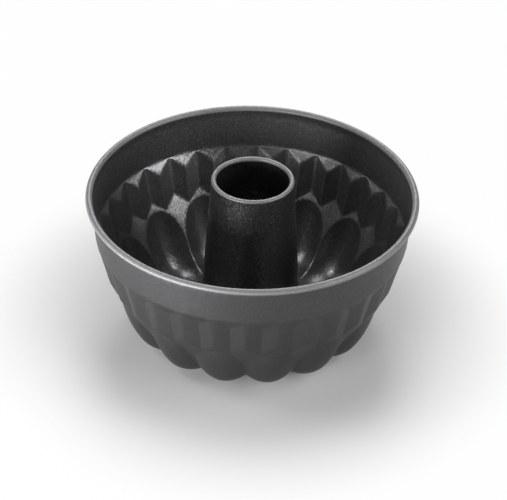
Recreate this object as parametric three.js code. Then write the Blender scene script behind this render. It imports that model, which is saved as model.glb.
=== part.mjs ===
// Ring cake mould (gugelhupf) of coated steel sheet: a deep-drawn shell with V flutes and spoon-shaped
// lobes, a conical centre tube clamped into the hole of its floor, and the wire that the rim is rolled round.
// Millimetres, +Z up. The origin is on the axis, in the plane that the lobes stand on.
import * as THREE from "three";

// Pattern: a flute groove stands over each lobe and over each gap between two lobes.
const LOBES = 15;
const FLUTES_PER_LOBE = 2;

// Sheet, and the clearance between pieces that are pressed together
const SHEET = 0.6;
const SEAT_GAP = 0.3;

// Rim: the sheet's edge rolled outwards round a wire
const RIM_RADIUS = 110;
const BEAD_RADIUS = 2.25;
const BEAD_HEIGHT = 102.8;
const WIRE_RADIUS = 1.25;
const CURL_END = -120;

// Corners of the shell's inside, as radius and height: grooves run out to the shoulder, ridges stop short of it.
const SHOULDER = new THREE.Vector2(103.3, 75.3);
const RIDGE_TOP = new THREE.Vector2(98.8, 68.3);
const GROOVE_FOOT = new THREE.Vector2(96.4, 49);
const RIDGE_FOOT = new THREE.Vector2(92.1, 41.8);
const LEAST_SHELF = 0.08;

// Bowl below the flutes: a cone, a round corner and a flat floor with the hole for the tube
const CORNER_RADIUS = 25;
const FLOOR_HEIGHT = 3.4;
const LOBE_END_RADIUS = 41;
const HOLE_RADIUS = 34.6;

// Lobes: dishes pressed out of the bowl. Their arches are given by the length along the bowl's section.
const LOBE_DEPTH = 5.8;
const ARCH_TOP = 6.8;
const ARCH_FOOT = 26.6;
const DISH_SKEW = 0.85;

// Centre tube: edge curled inwards at the top, swaged over the floor and hemmed under it
const TUBE_TOP_RADIUS = 27.4;
const TUBE_FOOT_RADIUS = 34.2;
const TUBE_RISE = 11.9;
const TUBE_BEAD_RADIUS = 1.6;
const TUBE_CURL_END = 240;
const SWAGE_RADIUS = 35.6;
const SWAGE_FLAT = [0.9, 1.9];
const SWAGE_HEIGHT = 3;
const HEM_RADIUS = 38.5;

// Facets: the patterned sheet has twice the steps of the plain round parts.
const STEPS_PER_LOBE = 8;
const PATTERN_STEPS = LOBES * STEPS_PER_LOBE;
const ROUND_STEPS = PATTERN_STEPS / 2;
const ARC_STEP = 30;
const DISH_STEPS = [0, 0.1, 0.22, 0.36, 0.5, 0.63, 0.727, 0.791, 0.88, 1];

const LOBE_TURN = (2 * Math.PI) / LOBES;
const FLUTE_TURN = LOBE_TURN / FLUTES_PER_LOBE;
const BEAD_CENTRE = new THREE.Vector2(RIM_RADIUS - BEAD_RADIUS, BEAD_HEIGHT);
const BAND_TOP = new THREE.Vector2(RIM_RADIUS - 2 * BEAD_RADIUS, BEAD_HEIGHT);
const TUBE_BEAD_CENTRE = new THREE.Vector2(TUBE_TOP_RADIUS - TUBE_BEAD_RADIUS, BEAD_HEIGHT + TUBE_RISE);

const point = (radius, height) => new THREE.Vector2(radius, height);
const between = (a, b, share) => a.clone().lerp(b, share);

// Points of a section's arc, from one angle to another in degrees.
function arc(centre, radius, from, to) {
  const count = Math.round(Math.abs(to - from) / ARC_STEP);
  return Array.from({ length: count + 1 }, (_, i) => {
    const angle = THREE.MathUtils.degToRad(from + ((to - from) * i) / count);
    return point(centre.x + radius * Math.cos(angle), centre.y + radius * Math.sin(angle));
  });
}

// The bowl's section without lobes: place and outward direction at a length s from the grooves' foot.
function makeBowl() {
  const down = RIDGE_FOOT.clone().sub(GROOVE_FOOT).normalize();
  const slope = Math.atan2(-down.y, -down.x);
  const toFloor = (GROOVE_FOOT.y - FLOOR_HEIGHT) / -down.y;
  const tangent = CORNER_RADIUS * Math.tan(slope / 2);
  const cone = toFloor - tangent;
  const bend = CORNER_RADIUS * slope;
  const bendCentre = point(GROOVE_FOOT.x + toFloor * down.x - tangent, FLOOR_HEIGHT + CORNER_RADIUS);

  const at = (s) => {
    const turned = THREE.MathUtils.clamp((s - cone) / bend, 0, 1);
    const angle = slope * (1 - turned) - Math.PI / 2;
    const out = point(Math.cos(angle), Math.sin(angle));
    if (s <= cone) return { place: GROOVE_FOOT.clone().addScaledVector(down, s), out };
    const place = bendCentre.clone().addScaledVector(out, CORNER_RADIUS);
    place.x -= Math.max(0, s - cone - bend);
    return { place, out };
  };
  return { at, length: cone + bend + bendCentre.x - LOBE_END_RADIUS };
}

const bowl = makeBowl();

// 0 on a groove line and 1 on a ridge line: the flutes' flanks are flat.
function ridgeShare(angle) {
  const turn = angle / FLUTE_TURN;
  return 2 * Math.abs(turn - Math.round(turn));
}

// 0 in the middle of a lobe and 1 on the ridge between two lobes.
function lobeOffset(angle) {
  const turn = angle / LOBE_TURN;
  return 2 * Math.abs(turn - Math.round(turn));
}

// How far a lobe stands out of the bowl at length s: a dish, deepest along the lobe's middle.
function lobeDepth(s, offset) {
  const climb = Math.min(1, (s - ARCH_TOP) / (ARCH_FOOT - ARCH_TOP));
  const halfWidth = Math.sqrt(1 - (1 - climb) ** 2);
  if (halfWidth <= offset) return 0;
  const along = ((s - ARCH_TOP) / (bowl.length - ARCH_TOP)) ** DISH_SKEW;
  return LOBE_DEPTH * Math.sin(Math.PI * along) * (1 - (offset / halfWidth) ** 2);
}

// Inside of the shell at one angle, from the rim down to the hole.
function insideSection(angle) {
  const ridge = ridgeShare(angle);
  const offset = lobeOffset(angle);
  const archStart = ARCH_TOP + (ARCH_FOOT - ARCH_TOP) * (1 - Math.sqrt(1 - offset ** 2));
  const shelfEnd = between(SHOULDER, RIDGE_TOP, Math.max(ridge, LEAST_SHELF));
  const flankFoot = between(GROOVE_FOOT, RIDGE_FOOT, ridge);
  const dish = DISH_STEPS.map((share) => {
    const s = archStart + (bowl.length - archStart) * share;
    const { place, out } = bowl.at(s);
    return place.addScaledVector(out, lobeDepth(s, offset));
  });
  const hole = point(HOLE_RADIUS, FLOOR_HEIGHT);
  return [BAND_TOP.clone(), SHOULDER.clone(), shelfEnd, flankFoot, ...dish, hole];
}

// The same section moved out by the sheet's thickness, with each corner mitred.
function outsideSection(inside) {
  const normals = inside.slice(1).map((p, i) => {
    const run = p.clone().sub(inside[i]).normalize();
    return point(-run.y, run.x);
  });
  return inside.map((p, i) => {
    const before = normals[Math.max(0, i - 1)];
    const after = normals[Math.min(normals.length - 1, i)];
    const mitre = before.clone().add(after).normalize();
    return p.clone().addScaledVector(mitre, SHEET / mitre.dot(after));
  });
}

// One ring of points round the axis, with angles counted from +Y, where a lobe is.
function ringOf(steps, sectionPoint) {
  return Array.from({ length: steps }, (_, i) => {
    const angle = (2 * Math.PI * i) / steps;
    const { x, y } = sectionPoint(angle, i);
    return new THREE.Vector3(x * Math.sin(angle), x * Math.cos(angle), y);
  });
}

// Triangles between two rings, of equal steps or of which one has twice the other's. A lobe's two halves
// are split along mirrored diagonals.
function stitch(a, b, startA, startB, index) {
  const steps = Math.max(a, b);
  const onA = (i) => startA + (Math.floor((i * a) / steps) % a);
  const onB = (i) => startB + (Math.floor((i * b) / steps) % b);
  const face = (...corners) => new Set(corners).size === 3 && index.push(...corners);
  for (let i = 0; i < steps; i++) {
    const [p, q, r, s] = [onA(i), onA(i + 1), onB(i + 1), onB(i)];
    const leftHalf = (i % STEPS_PER_LOBE) * 2 >= STEPS_PER_LOBE;
    face(p, q, leftHalf ? s : r);
    face(leftHalf ? q : p, r, s);
  }
}

// Closed skin over rings that follow each other round a section and end where they began.
function skin(rings) {
  const starts = [];
  const positions = [];
  for (const ring of rings) {
    starts.push(positions.length / 3);
    ring.forEach((p) => positions.push(p.x, p.y, p.z));
  }
  const index = [];
  rings.forEach((ring, i) => {
    const next = (i + 1) % rings.length;
    stitch(ring.length, rings[next].length, starts[i], starts[next], index);
  });
  const geometry = new THREE.BufferGeometry();
  geometry.setAttribute("position", new THREE.Float32BufferAttribute(positions, 3));
  geometry.setIndex(index);
  geometry.computeVertexNormals();
  return geometry;
}

// The drawn shell. The lobes are pressed flat by a hair where they stand on the table.
function shellGeometry() {
  const turns = Array.from({ length: PATTERN_STEPS }, (_, i) => (2 * Math.PI * i) / PATTERN_STEPS);
  const inside = turns.map(insideSection);
  const outside = inside.map(outsideSection);
  inside.flat().forEach((p) => (p.y = Math.max(p.y, SHEET)));
  outside.flat().forEach((p) => (p.y = Math.max(p.y, 0)));

  const levels = inside[0].keys().drop(1).toArray();
  const patterned = (sections) => levels.map((level) => ringOf(PATTERN_STEPS, (_, i) => sections[i][level]));
  const round = (points) => points.map((p) => ringOf(ROUND_STEPS, () => p));
  const curl = [
    ...arc(BEAD_CENTRE, BEAD_RADIUS, 180, CURL_END),
    ...arc(BEAD_CENTRE, BEAD_RADIUS - SHEET, CURL_END, 180),
  ];
  return skin([...patterned(inside).reverse(), ...round(curl), ...patterned(outside)]);
}

// A closed section turned round the axis.
function turned(section) {
  const geometry = new THREE.LatheGeometry([...section, section[0]], ROUND_STEPS);
  return geometry.rotateX(Math.PI / 2);
}

function tubeGeometry() {
  const hemTop = FLOOR_HEIGHT - SHEET - SEAT_GAP;
  const foot = [
    point(HEM_RADIUS, hemTop),
    point(TUBE_FOOT_RADIUS, hemTop),
    point(TUBE_FOOT_RADIUS, FLOOR_HEIGHT + SEAT_GAP),
    point(SWAGE_RADIUS, FLOOR_HEIGHT + SWAGE_FLAT[0]),
    point(SWAGE_RADIUS, FLOOR_HEIGHT + SWAGE_FLAT[1]),
    point(TUBE_FOOT_RADIUS, FLOOR_HEIGHT + SWAGE_HEIGHT),
  ];
  const outer = [...foot, ...arc(TUBE_BEAD_CENTRE, TUBE_BEAD_RADIUS, 0, TUBE_CURL_END)];
  const bore = foot.slice(1).map((p) => point(p.x - SHEET, p.y));
  bore[0].y -= SHEET;
  const inner = [point(HEM_RADIUS, hemTop - SHEET), ...bore];
  const innerCurl = arc(TUBE_BEAD_CENTRE, TUBE_BEAD_RADIUS - SHEET, TUBE_CURL_END, 0);
  return turned([...outer, ...innerCurl, ...inner.reverse()]);
}

function wireGeometry() {
  return turned(arc(BEAD_CENTRE, WIRE_RADIUS, 0, 360 - ARC_STEP));
}

function piece(name, geometry, colour, roughness, metalness) {
  const material = new THREE.MeshStandardMaterial({ color: colour, roughness, metalness });
  const mesh = new THREE.Mesh(geometry, material);
  mesh.name = name;
  return mesh;
}

const mould = new THREE.Group();
mould.name = "ring_cake_mould";
mould.add(
  piece("mould_shell", shellGeometry(), 0x4a4a4c, 0.42, 0.35),
  piece("centre_tube", tubeGeometry(), 0x434345, 0.42, 0.35),
  piece("rim_wire", wireGeometry(), 0xa8a8a6, 0.3, 1),
);

export default mould;
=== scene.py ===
"""Dresses a ring cake mould of coated steel sheet: fluted and lobed shell, crimped tube and rim wire.

Sizes in the mould's classes are millimetres, and meshes are metres in the frame's own axes. A section's
points are complex numbers, radius + i * height, so that one array holds a whole ring of them. Angles round
the mould are counted from +Y towards +X, and one lobe has its middle on +Y.
"""

import logging
import math
from dataclasses import dataclass
from enum import Enum
from typing import Any

import bpy
import numpy as np
from mathutils import Matrix, Vector


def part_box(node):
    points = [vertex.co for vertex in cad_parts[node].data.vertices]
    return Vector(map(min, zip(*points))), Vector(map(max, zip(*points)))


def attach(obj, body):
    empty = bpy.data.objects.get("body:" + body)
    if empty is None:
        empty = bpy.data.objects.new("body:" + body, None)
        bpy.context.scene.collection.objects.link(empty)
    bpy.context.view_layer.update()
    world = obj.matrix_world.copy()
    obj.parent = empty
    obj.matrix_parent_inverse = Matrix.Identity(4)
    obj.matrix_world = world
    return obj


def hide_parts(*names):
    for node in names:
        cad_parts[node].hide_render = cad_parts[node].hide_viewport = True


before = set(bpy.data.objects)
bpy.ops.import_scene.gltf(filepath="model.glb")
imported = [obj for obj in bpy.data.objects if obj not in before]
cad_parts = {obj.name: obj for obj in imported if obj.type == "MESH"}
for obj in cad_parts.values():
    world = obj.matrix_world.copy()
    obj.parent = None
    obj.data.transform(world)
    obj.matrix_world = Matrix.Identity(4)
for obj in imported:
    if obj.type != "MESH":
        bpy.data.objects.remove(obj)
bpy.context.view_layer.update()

MM = 0.001
IMAGE_WIDTH = 507
LOG = logging.getLogger("cake_mould")


def linear(colour: str) -> tuple[float, float, float, float]:
    """Turns an sRGB hex colour into Blender's linear RGBA.

    Args:
        colour: Six hex digits with a leading hash.

    Returns:
        Linear red, green, blue and an alpha of one.
    """
    parts = [int(colour[i:i + 2], 16) / 255 for i in (1, 3, 5)]
    curve = [v / 12.92 if v <= 0.04045 else ((v + 0.055) / 1.055) ** 2.4 for v in parts]
    return (*curve, 1.0)


def per_metre(size_mm: float) -> float:
    """Texture scale at which a pattern's cells are the given size in millimetres."""
    return 1 / (size_mm * MM)


def add_node(tree: bpy.types.NodeTree, kind: str, values: dict[Any, Any] | None = None,
             links: dict[Any, bpy.types.NodeSocket] | None = None, **settings: Any) -> bpy.types.Node:
    """Adds one node, sets it and links its inputs.

    Args:
        tree: Node tree of a material or of the world.
        kind: Blender's name for the kind of node.
        values: Constants by input name or number.
        links: Output sockets by the input name or number that they feed.
        settings: Properties of the node itself.

    Returns:
        The new node.
    """
    node = tree.nodes.new(kind)
    for name, value in settings.items():
        setattr(node, name, value)
    for key, value in (values or {}).items():
        node.inputs[key].default_value = value
    for key, socket in (links or {}).items():
        tree.links.new(socket, node.inputs[key])
    return node


def new_material(name: str) -> tuple[bpy.types.Material, bpy.types.NodeTree]:
    """Makes an empty node material.

    Args:
        name: The finish's name.

    Returns:
        The material and its node tree, with nothing in it.
    """
    material = bpy.data.materials.new(name)
    material.use_nodes = True
    material.node_tree.nodes.clear()
    return material, material.node_tree


@dataclass(frozen=True)
class BakedCoating:
    """Resin coating with metal flake, sprayed on steel sheet and baked.

    The eye gets a dark neutral grey with a satin sheen, soft-edged reflections, and a fine sparkle of
    flakes and orange peel inside the highlights.
    """

    name: str
    binder: str
    flake: str
    roughness: float
    metallic: float
    flake_tilt: float
    ior: float = 1.5
    flake_mm: float = 0.7
    peel_mm: float = 0.9
    peel_depth_mm: float = 0.008
    cloud_mm: float = 38.0
    flake_swing: float = 0.06
    cloud_swing: float = 0.05

    def material(self) -> bpy.types.Material:
        """Builds the coating's node material.

        Returns:
            The material.
        """
        material, tree = new_material(self.name)
        place = add_node(tree, "ShaderNodeTexCoord").outputs["Object"]
        # Flakes are some 0.05 mm in a real coating. They are drawn coarser, so that they show as sparkle.
        flakes = add_node(tree, "ShaderNodeTexVoronoi", {"Scale": per_metre(self.flake_mm)},
                          {"Vector": place})
        glint = add_node(tree, "ShaderNodeSeparateColor", links={0: flakes.outputs["Color"]})
        # Orange peel is the ripple that a sprayed film keeps when it flows out in the oven.
        peel = add_node(tree, "ShaderNodeTexNoise", {"Scale": per_metre(self.peel_mm), "Detail": 2.0},
                        {"Vector": place})
        # Slow drift of the film's thickness over a hand's breadth
        cloud = add_node(tree, "ShaderNodeTexNoise", {"Scale": per_metre(self.cloud_mm), "Detail": 1.0},
                         {"Vector": place})
        tint = add_node(tree, "ShaderNodeMix", {6: linear(self.binder), 7: linear(self.flake)},
                        {0: glint.outputs[0]}, data_type="RGBA")
        glossy, dull = self.roughness - self.cloud_swing, self.roughness + self.cloud_swing
        drift = add_node(tree, "ShaderNodeMapRange", {"To Min": glossy, "To Max": dull},
                         {"Value": cloud.outputs["Fac"]})
        sparkle = add_node(tree, "ShaderNodeMapRange",
                           {"To Min": -self.flake_swing, "To Max": self.flake_swing},
                           {"Value": glint.outputs[1]})
        rough = add_node(tree, "ShaderNodeMath", links={0: drift.outputs[0], 1: sparkle.outputs[0]},
                         operation="ADD")
        bump = add_node(tree, "ShaderNodeBump", {"Strength": 1.0, "Distance": self.peel_depth_mm * MM},
                        {"Height": peel.outputs["Fac"]})
        # Each flake lies at its own slight angle in the film.
        lean = add_node(tree, "ShaderNodeVectorMath", {1: (0.5, 0.5, 0.5)}, {0: flakes.outputs["Color"]},
                        operation="SUBTRACT")
        tilt = add_node(tree, "ShaderNodeVectorMath", {"Scale": self.flake_tilt}, {0: lean.outputs[0]},
                        operation="SCALE")
        leaned = add_node(tree, "ShaderNodeVectorMath", links={0: bump.outputs[0], 1: tilt.outputs[0]},
                          operation="ADD")
        normal = add_node(tree, "ShaderNodeVectorMath", links={0: leaned.outputs[0]}, operation="NORMALIZE")
        shader = add_node(tree, "ShaderNodeBsdfPrincipled", {"Metallic": self.metallic, "IOR": self.ior},
                          {"Base Color": tint.outputs[2], "Roughness": rough.outputs[0],
                           "Normal": normal.outputs[0]})
        add_node(tree, "ShaderNodeOutputMaterial", links={"Surface": shader.outputs[0]})
        return material


@dataclass(frozen=True)
class BareSteel:
    """Uncoated low-carbon steel, drawn or sheared: a neutral metal with fine lines along its length."""

    name: str
    colour: str
    groove: str
    roughness: float
    line_mm: float
    line_depth_mm: float

    def material(self) -> bpy.types.Material:
        """Builds the steel's node material, with drawing lines that run round the mould.

        Returns:
            The material.
        """
        material, tree = new_material(self.name)
        place = add_node(tree, "ShaderNodeTexCoord").outputs["Object"]
        flat = add_node(tree, "ShaderNodeVectorMath", {1: (1.0, 1.0, 0.0)}, {0: place},
                        operation="MULTIPLY")
        radius = add_node(tree, "ShaderNodeVectorMath", links={0: flat.outputs[0]}, operation="LENGTH")
        parts = add_node(tree, "ShaderNodeSeparateXYZ", links={0: place})
        across = add_node(tree, "ShaderNodeCombineXYZ",
                          links={"X": radius.outputs["Value"], "Y": parts.outputs["Z"]})
        lines = add_node(tree, "ShaderNodeTexNoise", {"Scale": per_metre(self.line_mm), "Detail": 3.0},
                         {"Vector": across.outputs[0]})
        tint = add_node(tree, "ShaderNodeMix", {6: linear(self.groove), 7: linear(self.colour)},
                        {0: lines.outputs["Fac"]}, data_type="RGBA")
        bump = add_node(tree, "ShaderNodeBump", {"Strength": 0.5, "Distance": self.line_depth_mm * MM},
                        {"Height": lines.outputs["Fac"]})
        shader = add_node(tree, "ShaderNodeBsdfPrincipled", {"Metallic": 1.0, "Roughness": self.roughness},
                          {"Base Color": tint.outputs[2], "Normal": bump.outputs[0]})
        add_node(tree, "ShaderNodeOutputMaterial", links={"Surface": shader.outputs[0]})
        return material


class Finish(Enum):
    """The finishes of this mould."""

    # Non-stick coat inside the shell: a satin sheen with soft highlights in the lobes
    RELEASE = BakedCoating("release_coat_on_steel", "#636364", "#7f7f80", roughness=0.35, metallic=0.8,
                           flake_tilt=0.11)
    # The same coat on the rolled tube, painted darker for the shade round its foot, with a grainier glow
    TUBE_PAINTED_SHADE = BakedCoating("release_coat_painted_shade_on_tube", "#565657", "#707071", roughness=0.35, metallic=0.96,
                        flake_tilt=0.22)
    # Metal-flake lacquer outside: duller, so that flutes and lobes show by broad light and shade
    LACQUER = BakedCoating("grey_lacquer_on_steel", "#464647", "#545455", roughness=0.5, metallic=1.0,
                           flake_tilt=0.1, flake_mm=0.6, peel_mm=1.2, peel_depth_mm=0.005)
    # Coat on the rolled edges, more matt and painted paler: the lighter colour is painted light from above
    ROLLED_PAINTED_LIGHT = BakedCoating("rolled_coat_painted_light", "#6f6f70", "#7f7f80", roughness=0.48, metallic=0.3,
                          flake_tilt=0.12, flake_mm=0.6, peel_mm=1.2, peel_depth_mm=0.004,
                          flake_swing=0.04, cloud_swing=0.03)
    # Bright drawn wire, seen only in the slit under the rim
    WIRE = BareSteel("drawn_steel_wire", "#c4c4c2", "#8d8d8b", roughness=0.3, line_mm=0.12,
                     line_depth_mm=0.01)
    # Cut edges of the sheet, which the coating leaves bare
    EDGE = BareSteel("sheared_steel_edge", "#a9a9a6", "#6f6f6d", roughness=0.42, line_mm=0.1,
                     line_depth_mm=0.01)


class FinishShelf:
    """Makes each finish's material once."""

    def __init__(self) -> None:
        """Starts with no material made."""
        self._made: dict[Finish, bpy.types.Material] = {}

    def get(self, finish: Finish) -> bpy.types.Material:
        """Gives a finish's material, made on first use.

        Args:
            finish: The finish that is wanted.

        Returns:
            Its material.
        """
        if finish not in self._made:
            self._made[finish] = finish.value.material()
        return self._made[finish]


def arc(centre: complex, radius: float, start: float, end: float, count: int) -> np.ndarray:
    """Points of a section's arc.

    Args:
        centre: Middle of the arc.
        radius: Its radius.
        start: First angle in degrees, from outwards towards up.
        end: Last angle in degrees.
        count: How many points.

    Returns:
        The points as complex numbers.
    """
    return centre + radius * np.exp(1j * np.radians(np.linspace(start, end, count)))


def rounded_corner(before: np.ndarray, at: np.ndarray, after: np.ndarray, cut: np.ndarray,
                   count: int) -> list[np.ndarray]:
    """Rounds one corner of a section by a parabola.

    Args:
        before: Point that the section comes from.
        at: The sharp corner.
        after: Point that it goes to.
        cut: Length taken off each leg.
        count: How many points.

    Returns:
        The points from the first leg to the second.
    """
    start = at + (before - at) / np.abs(before - at) * cut
    end = at + (after - at) / np.abs(after - at) * cut
    shares = np.linspace(0, 1, count)
    return [(1 - t) ** 2 * start + 2 * t * (1 - t) * at + t ** 2 * end for t in shares]


def blunt_start(share: np.ndarray, size: float) -> np.ndarray:
    """Blunts the V that a rising share makes at 0.

    Args:
        share: Values from 0 to 1.
        size: Part of the range that the blunting takes.

    Returns:
        The share, flat at 0 and still from 0 to 1.
    """
    return (np.sqrt(share ** 2 + size ** 2) - size) / (math.sqrt(1 + size ** 2) - size)


def ring_points(section: np.ndarray, angles: np.ndarray) -> np.ndarray:
    """Places section points round the axis.

    Args:
        section: Complex points, rows down the section and a column for each angle.
        angles: Angle of each column.

    Returns:
        Points with x, y and z in the last axis.
    """
    return np.stack([section.real * np.sin(angles), section.real * np.cos(angles), section.imag], -1)


def ring_mesh(name: str, grid: np.ndarray, kinds: np.ndarray, crease: float = 40.0) -> bpy.types.Object:
    """Makes a closed mesh from rows of points that run round the axis and round the section.

    Args:
        name: The piece's name.
        grid: Points in millimetres, rows by columns by xyz. The last row joins the first.
        kinds: Material slot of the faces below each row.
        crease: Edges that turn by more than this many degrees stay sharp.

    Returns:
        The new object.
    """
    rows, columns = grid.shape[:2]
    here = np.arange(rows * columns).reshape(rows, columns)
    aside = np.roll(here, -1, 1)
    quads = np.stack([here, aside, np.roll(aside, -1, 0), np.roll(here, -1, 0)], -1).reshape(-1, 4)
    mesh = bpy.data.meshes.new(name)
    mesh.from_pydata((grid.reshape(-1, 3) * MM).tolist(), [], quads.tolist())
    mesh.polygons.foreach_set("material_index", np.repeat(kinds, columns).astype(np.int32))
    mesh.shade_smooth()
    mesh.set_sharp_from_angle(angle=math.radians(crease))
    mesh.update()
    piece = bpy.data.objects.new(name, mesh)
    bpy.context.collection.objects.link(piece)
    return piece


def settle(piece: bpy.types.Object, node: str) -> None:
    """Ties a finished piece to the frame and reports it.

    Args:
        piece: The piece.
        node: CAD node that it stands for.
    """
    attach(piece, "root")
    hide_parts(node)
    LOG.info("%s: %d faces for %s", piece.name, len(piece.data.polygons), node)


@dataclass
class MouldShell:
    """Deep-drawn shell: plain band, V flutes under a shoulder, and a bowl with lobes pressed out of it."""

    lobes: int = 15
    flutes_per_lobe: int = 2
    sheet: float = 0.6
    bead_radius: float = 2.25
    curl_end: float = -114.0
    # Where the band meets the bead, which stands in over it, and the bead's rows that keep the release coat:
    # those in the neck, and those on the curl's underside, where the darker coat is painted shade under the
    # bead
    neck_angle: float = 212.0
    neck_rows: int = 3
    painted_shade_lip_rows: int = 14
    shoulder: complex = 103.3 + 75.3j
    ridge_top: complex = 98.8 + 68.3j
    groove_foot: complex = 96.4 + 49j
    ridge_foot: complex = 92.1 + 41.8j
    least_shelf: float = 0.08
    corner_radius: float = 25.0
    floor_height: float = 3.4
    lobe_end_radius: float = 41.0
    hole_radius: float = 34.6
    lobe_depth: float = 5.8
    arch_top: float = 6.8
    arch_foot: float = 35.0
    dish_skew: float = 0.85
    # Press radii, which the tool leaves at each crease
    shoulder_cut: float = 1.8
    shelf_cut: float = 2.4
    foot_cut: float = 1.8
    arch_round: float = 0.45
    flute_blunt: float = 0.05
    ridge_blunt: float = 0.05
    # Largest parts of a short leg that the radii at the shelf and at the flutes' foot take
    shelf_share: float = 0.42
    foot_share: float = 0.4
    # First stretch of an arch, where the dish starts with a steady slope
    arch_lead: float = 1.5
    # Rows of the mesh on each straight stretch or rounded corner, and on the two faces of the curl
    stretch_rows: int = 6
    over_rows: int = 44
    under_rows: int = 28

    def __post_init__(self) -> None:
        """Works out the rim, the bowl's section and the columns of the mesh."""
        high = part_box("mould_shell")[1]
        rim_radius = high.x / MM
        bead_height = high.z / MM - self.bead_radius
        self.bead_centre = complex(rim_radius - self.bead_radius, bead_height)
        self.band_top = arc(self.bead_centre, self.bead_radius, self.neck_angle, self.neck_angle, 1)[0]
        self.down = (self.ridge_foot - self.groove_foot) / abs(self.ridge_foot - self.groove_foot)
        self.slope = math.atan2(-self.down.imag, -self.down.real)
        to_floor = (self.groove_foot.imag - self.floor_height) / -self.down.imag
        tangent = self.corner_radius * math.tan(self.slope / 2)
        self.cone = to_floor - tangent
        self.bend = self.corner_radius * self.slope
        bend_x = self.groove_foot.real + to_floor * self.down.real - tangent
        self.bend_centre = complex(bend_x, self.floor_height + self.corner_radius)
        self.length = self.cone + self.bend + bend_x - self.lobe_end_radius
        # Columns are closer on the groove and ridge lines, where the sheet turns.
        steps = np.array([0, 0.03, 0.07, 0.12, 0.2, 0.34, 0.5, 0.66, 0.8, 0.88, 0.93, 0.97])
        halves = np.arange(2 * self.lobes * self.flutes_per_lobe)
        self.angles = ((halves[:, None] + steps).ravel()) * math.pi / len(halves) * 2
        LOG.info("bowl section %.1f mm long, slope %.1f degrees", self.length, math.degrees(self.slope))

    def wave(self, count: int) -> np.ndarray:
        """Triangle wave round the mould.

        Args:
            count: Waves in a full turn.

        Returns:
            0 on the line through +Y and each like it, 1 half-way between two.
        """
        turn = self.angles * count / (2 * math.pi)
        return 2 * np.abs(turn - np.round(turn))

    def bowl(self, s: np.ndarray) -> tuple[np.ndarray, np.ndarray]:
        """The bowl's section without lobes.

        Args:
            s: Lengths along the section from the grooves' foot.

        Returns:
            The places, and the outward directions there.
        """
        turned = np.clip((s - self.cone) / self.bend, 0, 1)
        out = np.exp(1j * (self.slope * (1 - turned) - math.pi / 2))
        on_bend = self.bend_centre + self.corner_radius * out - np.maximum(0, s - self.cone - self.bend)
        return np.where(s <= self.cone, self.groove_foot + self.down * s, on_bend), out

    def lobe(self, s: np.ndarray, offset: np.ndarray) -> np.ndarray:
        """How far a lobe stands out of the bowl, with its arch and its lower end rounded.

        Args:
            s: Lengths along the bowl's section.
            offset: 0 in the middle of a lobe, 1 on the ridge between two.

        Returns:
            Depths, close to 0 outside the lobes.
        """
        arch = self.arch_foot - self.arch_top
        climb = np.minimum(1, (s - self.arch_top) / arch)
        inside = 1 - offset ** 2 - (1 - climb) ** 2
        lead = self.arch_lead / arch
        width = np.maximum(1 - (1 - np.maximum(climb, 0)) ** 2, 1 - (1 - lead) ** 2)
        reach = self.length - self.arch_top
        along = np.maximum(s - self.arch_top, self.arch_lead) / reach
        depth = self.lobe_depth * np.sin(math.pi * along ** self.dish_skew) * inside / width
        return (depth + np.sqrt(depth ** 2 + self.arch_round ** 2)) / 2

    def inside_section(self) -> np.ndarray:
        """Inside of the shell from the rim down to the hole, with rounded creases.

        Returns:
            Complex points, rows down the section by columns round the mould.
        """
        wave = self.wave(self.lobes * self.flutes_per_lobe)
        ridge = 1 - blunt_start(1 - blunt_start(wave, self.flute_blunt), self.flute_blunt)
        offset = 1 - blunt_start(1 - self.wave(self.lobes), self.ridge_blunt)
        top = np.full(ridge.shape, self.band_top)
        shoulder = np.full(ridge.shape, self.shoulder)
        shelf = self.shoulder + (self.ridge_top - self.shoulder) * np.maximum(ridge, self.least_shelf)
        foot = self.groove_foot + (self.ridge_foot - self.groove_foot) * ridge
        foot_s = abs(self.ridge_foot - self.groove_foot) * ridge
        arch_share = 1 - np.sqrt(np.maximum(0, 1 - offset ** 2))
        arch_s = self.arch_top + (self.arch_foot - self.arch_top) * arch_share
        shelf_leg = self.shelf_share * np.abs(shelf - shoulder)
        shoulder_cut = np.minimum(self.shoulder_cut, shelf_leg)
        shelf_cut = np.minimum(self.shelf_cut, shelf_leg)
        foot_cut = np.minimum(self.foot_cut, self.foot_share * (arch_s - foot_s))
        count = self.stretch_rows
        rows = [top + (shoulder - top) * t for t in np.linspace(0, 0.9, count)]
        rows += rounded_corner(top, shoulder, shelf, shoulder_cut, count)
        rows += rounded_corner(shoulder, shelf, foot, shelf_cut, count)
        rows += [shelf + (foot - shelf) * t for t in np.linspace(0.15, 0.85, count)]
        rows += rounded_corner(shelf, foot, foot + self.down, foot_cut, count)
        # On the flank the length along the bowl is counted backwards from the foot.
        path = [foot_s - np.abs(row - foot) * np.where(row.imag > foot.imag, 1, -1) for row in rows]
        start = foot_s + foot_cut
        # Rows down the bowl, before and after the arch, are closer where the sheet turns.
        before = [0.3, 0.6, 0.85]
        after = [0, 0.006, 0.013, 0.022, 0.034, 0.05, 0.07, 0.095, 0.125, *np.linspace(0.16, 0.94, 26),
                 0.965, 0.985, 1, 1.015, 1.035]
        bowl_s = [start + (arch_s - start) * t for t in before]
        bowl_s += [arch_s + (self.length - arch_s) * t for t in after]
        end_s = bowl_s[-1]
        hole_s = self.length + self.lobe_end_radius - self.hole_radius
        bowl_s += [end_s + (hole_s - end_s) * t for t in (0.25, 0.5, 0.75, 1)]
        on_bowl = np.array(bowl_s)
        place = np.concatenate([np.array(rows), self.bowl(on_bowl)[0]])
        path_s = np.concatenate([np.array(path), on_bowl])
        place = place + self.bowl(np.maximum(path_s, 0))[1] * self.lobe(path_s, offset)
        return place.real + 1j * np.maximum(place.imag, self.sheet)

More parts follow.
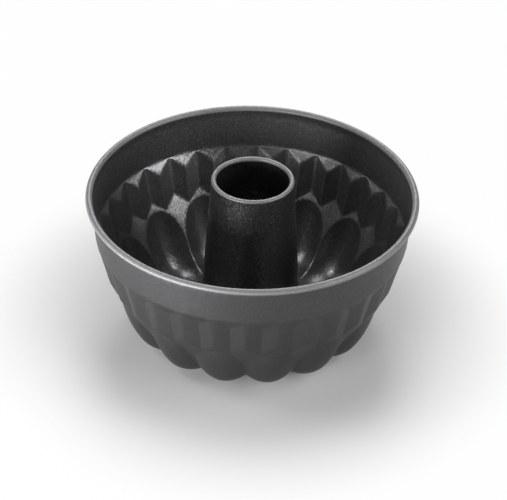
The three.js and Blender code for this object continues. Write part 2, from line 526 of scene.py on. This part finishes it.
    def build(self) -> bpy.types.Object:
        """Makes the sheet's two faces, the rolled rim and the edge of the hole.

        Returns:
            The shell.
        """
        inside = ring_points(self.inside_section(), self.angles)
        down = np.gradient(inside, axis=0)
        aside = np.roll(inside, -1, 1) - np.roll(inside, 1, 1)
        normal = np.cross(aside, down)
        normal /= np.linalg.norm(normal, axis=-1, keepdims=True)
        outside = inside + normal * self.sheet
        outside[..., 2] = np.maximum(outside[..., 2], 0)
        over = arc(self.bead_centre, self.bead_radius, self.neck_angle, self.curl_end, self.over_rows)[1:]
        inner_radius = self.bead_radius - self.sheet
        under = arc(self.bead_centre, inner_radius, self.curl_end, self.neck_angle, self.under_rows)[:-1]
        curl = np.concatenate([over, under])[:, None] + np.zeros(len(self.angles))
        grid = np.concatenate([inside[::-1], ring_points(curl, self.angles), outside])
        plain = len(inside) - 1 + self.neck_rows
        # The bead's crown takes the paler rolled coat, which is painted light
        painted_light_rows = len(over) - self.neck_rows - self.painted_shade_lip_rows
        back = len(under) + len(outside) - 1
        # The curl's underside keeps the darker release coat: painted shade, the shadow line under the bead
        kinds = np.repeat([0, 3, 0, 2, 1, 2], [plain, painted_light_rows, self.painted_shade_lip_rows, 1, back, 1])
        return ring_mesh("shell_sheet", grid, kinds)

    def dress(self, piece: bpy.types.Object, shelf: FinishShelf) -> None:
        """Gives the inside, the outside, the rolled bead and the cut edges their finishes.

        Args:
            piece: The shell.
            shelf: Where the finishes are kept.
        """
        for finish in (Finish.RELEASE, Finish.LACQUER, Finish.EDGE, Finish.ROLLED_PAINTED_LIGHT):
            piece.data.materials.append(shelf.get(finish))
        settle(piece, "mould_shell")


@dataclass
class CentreTube:
    """Conical tube: edge curled inwards at the top, swaged over the shell's floor and hemmed under it."""

    sheet: float = 0.6
    top_radius: float = 27.4
    foot_radius: float = 34.2
    bead_radius: float = 1.6
    curl_end: float = 240.0
    curl_rows: int = 28
    floor_height: float = 3.4
    seat_gap: float = 0.3
    swage_radius: float = 35.6
    swage_flat: tuple[float, float] = (0.9, 1.9)
    swage_height: float = 3.0
    fold_cut: float = 0.55
    # Welded seam of the rolled tube: its place round the axis, its width and its height
    seam_angle: float = 36.0
    seam_width: float = 0.9
    seam_height: float = 0.14
    seam_fade: float = 4.0
    # Columns of the mesh in degrees: their step, and how far from the seam they are closer
    column_step: float = 2.0
    seam_step: float = 0.4
    seam_reach: float = 5.0
    # Largest part of a short leg that a fold's radius takes, and the rows on a fold and on the wall
    fold_share: float = 0.45
    fold_rows: int = 6
    wall_rows: int = 40

    def __post_init__(self) -> None:
        """Takes the tube's height and hem from the frame and lays out the columns."""
        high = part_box("centre_tube")[1]
        self.hem_radius = high.x / MM
        self.bead_centre = complex(self.top_radius - self.bead_radius, high.z / MM - self.bead_radius)
        coarse = np.arange(0, 360, self.column_step)
        fine = self.seam_angle + np.arange(-self.seam_reach, self.seam_reach + 0.1, self.seam_step)
        clear = np.abs(coarse - self.seam_angle) > self.seam_reach + 0.5
        self.angles = np.radians(np.sort(np.concatenate([coarse[clear], fine])))

    def outer_section(self) -> np.ndarray:
        """Outside of the sheet from the hem's edge up and round the curl.

        Returns:
            Complex points.
        """
        hem = self.floor_height - self.sheet - self.seat_gap
        low, high = (self.floor_height + v for v in self.swage_flat)
        corners = [
            complex(self.hem_radius, hem),
            complex(self.foot_radius, hem),
            complex(self.foot_radius, self.floor_height + self.seat_gap),
            complex(self.swage_radius, low),
            complex(self.swage_radius, high),
            complex(self.foot_radius, self.floor_height + self.swage_height),
            self.bead_centre + self.bead_radius,
        ]
        points = [corners[0], 0.5 * (corners[0] + corners[1])]
        for before, at, after in zip(corners, corners[1:], corners[2:]):
            shorter = min(abs(at - before), abs(after - at))
            cut = min(self.fold_cut, self.fold_share * shorter)
            points += rounded_corner(before, at, after, cut, self.fold_rows)
        wall = np.linspace(points[-1], corners[-1], self.wall_rows)[1:-1]
        curl = arc(self.bead_centre, self.bead_radius, 0, self.curl_end, self.curl_rows)
        return np.concatenate([points, wall, curl])

    def build(self) -> bpy.types.Object:
        """Turns the section round the axis, with its thickness and the weld seam.

        Returns:
            The tube.
        """
        outer = self.outer_section()
        run = np.gradient(outer)
        normal = 1j * run / np.abs(run)
        inner = outer + normal * self.sheet
        seam = np.radians(self.seam_angle)
        across = (self.angles - seam) * self.top_radius / self.seam_width
        ridge = self.seam_height * np.exp(-across ** 2)
        ends = np.minimum(outer.imag - self.floor_height, self.bead_centre.imag - outer.imag)
        heights = np.clip(ends / self.seam_fade - 1, 0, 1)
        raised = heights[:, None] * ridge[None, :]
        grid = np.concatenate([
            ring_points(outer[:, None] - normal[:, None] * raised, self.angles),
            ring_points(inner[::-1, None] + normal[::-1, None] * raised[::-1], self.angles),
        ])
        # The tube's curl takes the paler rolled coat, which is painted light
        plain = len(outer) - self.curl_rows
        kinds = np.repeat([0, 2, 1, 0, 1], [plain, self.curl_rows - 1, 1, len(outer) - 1, 1])
        return ring_mesh("tube_sheet", grid, kinds)

    def dress(self, piece: bpy.types.Object, shelf: FinishShelf) -> None:
        """Gives the tube, its cut edges and its curl their finishes.

        Args:
            piece: The tube.
            shelf: Where the finishes are kept.
        """
        for finish in (Finish.TUBE_PAINTED_SHADE, Finish.EDGE, Finish.ROLLED_PAINTED_LIGHT):
            piece.data.materials.append(shelf.get(finish))
        settle(piece, "centre_tube")


@dataclass
class RimWire:
    """Ring of drawn wire that the rim is rolled round. It shows only in the slit under the curl."""

    sides: int = 20
    steps: int = 240

    def build(self) -> bpy.types.Object:
        """Makes the ring from the box of its CAD node.

        Returns:
            The wire.
        """
        low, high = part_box("rim_wire")
        radius = (high.z - low.z) / 2 / MM
        centre = complex(high.x / MM - radius, (high.z + low.z) / 2 / MM)
        section = arc(centre, radius, 0, -360, self.sides + 1)[:-1]
        angles = np.linspace(0, 2 * math.pi, self.steps, endpoint=False)
        grid = ring_points(section[:, None] + np.zeros(self.steps), angles)
        return ring_mesh("rim_wire_ring", grid, np.zeros(self.sides))

    def dress(self, piece: bpy.types.Object, shelf: FinishShelf) -> None:
        """Gives the wire its drawn steel.

        Args:
            piece: The wire.
            shelf: Where the finishes are kept.
        """
        piece.data.materials.append(shelf.get(Finish.WIRE))
        settle(piece, "rim_wire")


def toward(azimuth: float, elevation: float) -> Vector:
    """Direction from the mould to a place in the studio.

    Args:
        azimuth: Degrees from the front towards the right.
        elevation: Degrees above the table.

    Returns:
        A unit vector.
    """
    a, e = math.radians(azimuth), math.radians(elevation)
    return Vector((math.sin(a) * math.cos(e), -math.cos(a) * math.cos(e), math.sin(e)))


@dataclass(frozen=True)
class Softbox:
    """One rectangular studio lamp that faces the mould. Lengths are metres."""

    name: str
    azimuth: float
    elevation: float
    distance: float
    width: float
    height: float
    radiance: float

    def place(self, target: Vector) -> None:
        """Adds the lamp.

        Args:
            target: Point that it faces.
        """
        lamp = bpy.data.lights.new(self.name, "AREA")
        lamp.shape = "RECTANGLE"
        lamp.size, lamp.size_y = self.width, self.height
        # An area lamp's radiance is its power over its area and pi.
        lamp.energy = self.radiance * self.width * self.height * math.pi
        away = toward(self.azimuth, self.elevation)
        stand = bpy.data.objects.new(self.name, lamp)
        stand.location = target + away * self.distance
        stand.rotation_euler = away.to_track_quat("Z", "Y").to_euler()
        bpy.context.collection.objects.link(stand)


@dataclass
class Studio:
    """White table, soft lamps and the camera at the photograph's place."""

    # Camera: angles in degrees, lengths in millimetres, the image plane in pixels of the 507 pixel frame
    azimuth: float = 1.27
    elevation: float = 34.07
    distance: float = 1527.0
    focal_pixels: float = 2315.0
    roll: float = 1.39
    aim_pixels: tuple[float, float] = (-1.0, -54.5)
    sensor_width: float = 36.0
    # Table and lamps: lengths in metres. The table is a hair under the lobes, so that no faces share a plane.
    floor_radius: float = 4.0
    floor_sides: int = 64
    floor_height: float = -0.0002
    floor_colour: str = "#cccccc"
    # The table's own shading gives way to white from one radius to the other.
    veil_radii: tuple[float, float] = (0.1, 0.2)
    veil_shares: tuple[float, float] = (0.05, 0.97)
    # White walls stand up to the first height in degrees, and the dim ceiling starts at the second.
    wall_heights: tuple[float, float] = (6.0, 9.0)
    ceiling_light: float = 0.03
    # Share of the rim's height that the lamps face
    lamp_aim: float = 0.6
    # Each lamp's azimuth, elevation, distance, width, height and radiance
    lamps: tuple[Softbox, ...] = (
        Softbox("left_key", -38, 7.5, 2.4, 1.6, 0.5, 19.0),
        # A low strip below the rim, so that it lights the outside and not the bowl
        Softbox("left_strip", -52, -4.5, 0.36, 0.45, 0.05, 20.0),
        Softbox("left_box", -42, 22, 2.4, 0.9, 0.6, 3.8),
        Softbox("left_side", -90, 24, 2.4, 0.7, 0.5, 3.0),
        Softbox("left_high", -90, 48, 2.4, 0.6, 0.5, 11.0),
        Softbox("right_box", 71, 24, 2.4, 1.7, 0.8, 7.0),
        Softbox("right_high", 88, 48, 2.4, 0.6, 0.5, 9.0),
        Softbox("back_panel", 180, 36, 2.4, 0.9, 1.6, 7.0),
        Softbox("top_box", 180, 76, 2.4, 0.9, 0.8, 5.0),
    )

    def seen(self, tree: bpy.types.NodeTree) -> bpy.types.NodeSocket:
        """Tells which rays see the white background.

        Args:
            tree: Node tree of the table or the room.

        Returns:
            A socket with 1 for a camera, glossy or transmission ray and 0 for any other.
        """
        path = add_node(tree, "ShaderNodeLightPath").outputs
        either = add_node(tree, "ShaderNodeMath",
                          links={0: path["Is Camera Ray"], 1: path["Is Glossy Ray"]},
                          operation="MAXIMUM")
        return add_node(tree, "ShaderNodeMath",
                        links={0: either.outputs[0], 1: path["Is Transmission Ray"]},
                        operation="MAXIMUM").outputs[0]

    def add_floor(self) -> None:
        """Adds the white table, which keeps a faint shadow of the mould."""
        material, tree = new_material("white_table")
        card = add_node(tree, "ShaderNodeBsdfDiffuse", {"Color": linear(self.floor_colour)})
        glow = add_node(tree, "ShaderNodeEmission", {"Strength": 1.0})
        place = add_node(tree, "ShaderNodeTexCoord").outputs["Object"]
        radius = add_node(tree, "ShaderNodeVectorMath", links={0: place}, operation="LENGTH")
        near, far = self.veil_radii
        share = add_node(tree, "ShaderNodeMapRange",
                         {"From Min": near, "From Max": far, "To Min": self.veil_shares[0],
                          "To Max": self.veil_shares[1]},
                         {"Value": radius.outputs["Value"]}, interpolation_type="SMOOTHSTEP")
        veil = add_node(tree, "ShaderNodeMath", links={0: self.seen(tree), 1: share.outputs[0]},
                        operation="MULTIPLY")
        mixed = add_node(tree, "ShaderNodeMixShader",
                         links={0: veil.outputs[0], 1: card.outputs[0], 2: glow.outputs[0]})
        add_node(tree, "ShaderNodeOutputMaterial", links={"Surface": mixed.outputs[0]})
        turns = np.linspace(0, 2 * math.pi, self.floor_sides, endpoint=False)
        ring = self.floor_radius * np.stack([np.cos(turns), np.sin(turns)], 1)
        edge = [(x, y, self.floor_height) for x, y in ring.tolist()]
        mesh = bpy.data.meshes.new("table_top")
        mesh.from_pydata(edge, [], [list(range(len(edge)))])
        mesh.materials.append(material)
        table = bpy.data.objects.new("table_top", mesh)
        bpy.context.collection.objects.link(table)

    def add_world(self) -> None:
        """Adds the room: white walls round the table under a dim ceiling."""
        world = bpy.data.worlds.new("white_room")
        world.use_nodes = True
        tree = world.node_tree
        tree.nodes.clear()
        ray = add_node(tree, "ShaderNodeTexCoord").outputs["Generated"]
        height = add_node(tree, "ShaderNodeSeparateXYZ", links={0: ray}).outputs["Z"]
        low, high = (math.sin(math.radians(v)) for v in self.wall_heights)
        wall = add_node(tree, "ShaderNodeMapRange", {"From Min": high, "From Max": low}, {"Value": height},
                        interpolation_type="SMOOTHSTEP")
        share = add_node(tree, "ShaderNodeMath", links={0: wall.outputs[0], 1: self.seen(tree)},
                         operation="MULTIPLY")
        light = add_node(tree, "ShaderNodeMapRange", {"To Min": self.ceiling_light, "To Max": 1.0},
                         {"Value": share.outputs[0]})
        room = add_node(tree, "ShaderNodeBackground", {"Color": (1, 1, 1, 1)},
                        {"Strength": light.outputs[0]})
        add_node(tree, "ShaderNodeOutputWorld", links={"Surface": room.outputs[0]})
        bpy.context.scene.world = world

    def add_camera(self, rim_centre: Vector) -> None:
        """Adds the camera that the photograph's ellipses and flutes were fitted with.

        Args:
            rim_centre: Middle of the rim's bead, in metres, which the aim is given for.
        """
        back = toward(self.azimuth, self.elevation)
        turn = math.radians(self.azimuth)
        right = Vector((math.cos(turn), math.sin(turn), 0))
        up = back.cross(right)
        basis = Matrix((right, up, -back))
        yaw = math.atan2(self.aim_pixels[0], self.focal_pixels)
        pitch = math.atan2(self.aim_pixels[1], self.focal_pixels)
        tilt = Matrix.Rotation(pitch, 3, "X") @ Matrix.Rotation(yaw, 3, "Y")
        turned = tilt @ Matrix.Rotation(-math.radians(self.roll), 3, "Z") @ basis
        data = bpy.data.cameras.new("photo_camera")
        data.sensor_fit = "HORIZONTAL"
        data.sensor_width = self.sensor_width
        data.lens = self.focal_pixels * self.sensor_width / IMAGE_WIDTH
        camera = bpy.data.objects.new("photo_camera", data)
        axes = Matrix((turned[0], turned[1], -turned[2])).transposed().to_4x4()
        camera.matrix_world = Matrix.Translation(rim_centre + back * self.distance * MM) @ axes
        bpy.context.collection.objects.link(camera)
        bpy.context.scene.camera = camera

    def build(self, rim_centre: Vector) -> None:
        """Sets up the whole studio.

        Args:
            rim_centre: Middle of the rim's bead in metres.
        """
        bpy.context.scene.view_settings.view_transform = "Standard"
        self.add_floor()
        self.add_world()
        for lamp in self.lamps:
            lamp.place(rim_centre * self.lamp_aim)
        self.add_camera(rim_centre)


def main() -> None:
    """Builds the studio, then each piece of the mould in the order that it is made."""
    logging.basicConfig(level=logging.INFO, format="%(name)s: %(message)s")
    shelf = FinishShelf()
    shell = MouldShell()
    Studio().build(Vector((0, 0, shell.bead_centre.imag * MM)))
    for maker in (shell, RimWire(), CentreTube()):
        maker.dress(maker.build(), shelf)


if __name__ == "__main__":
    main()
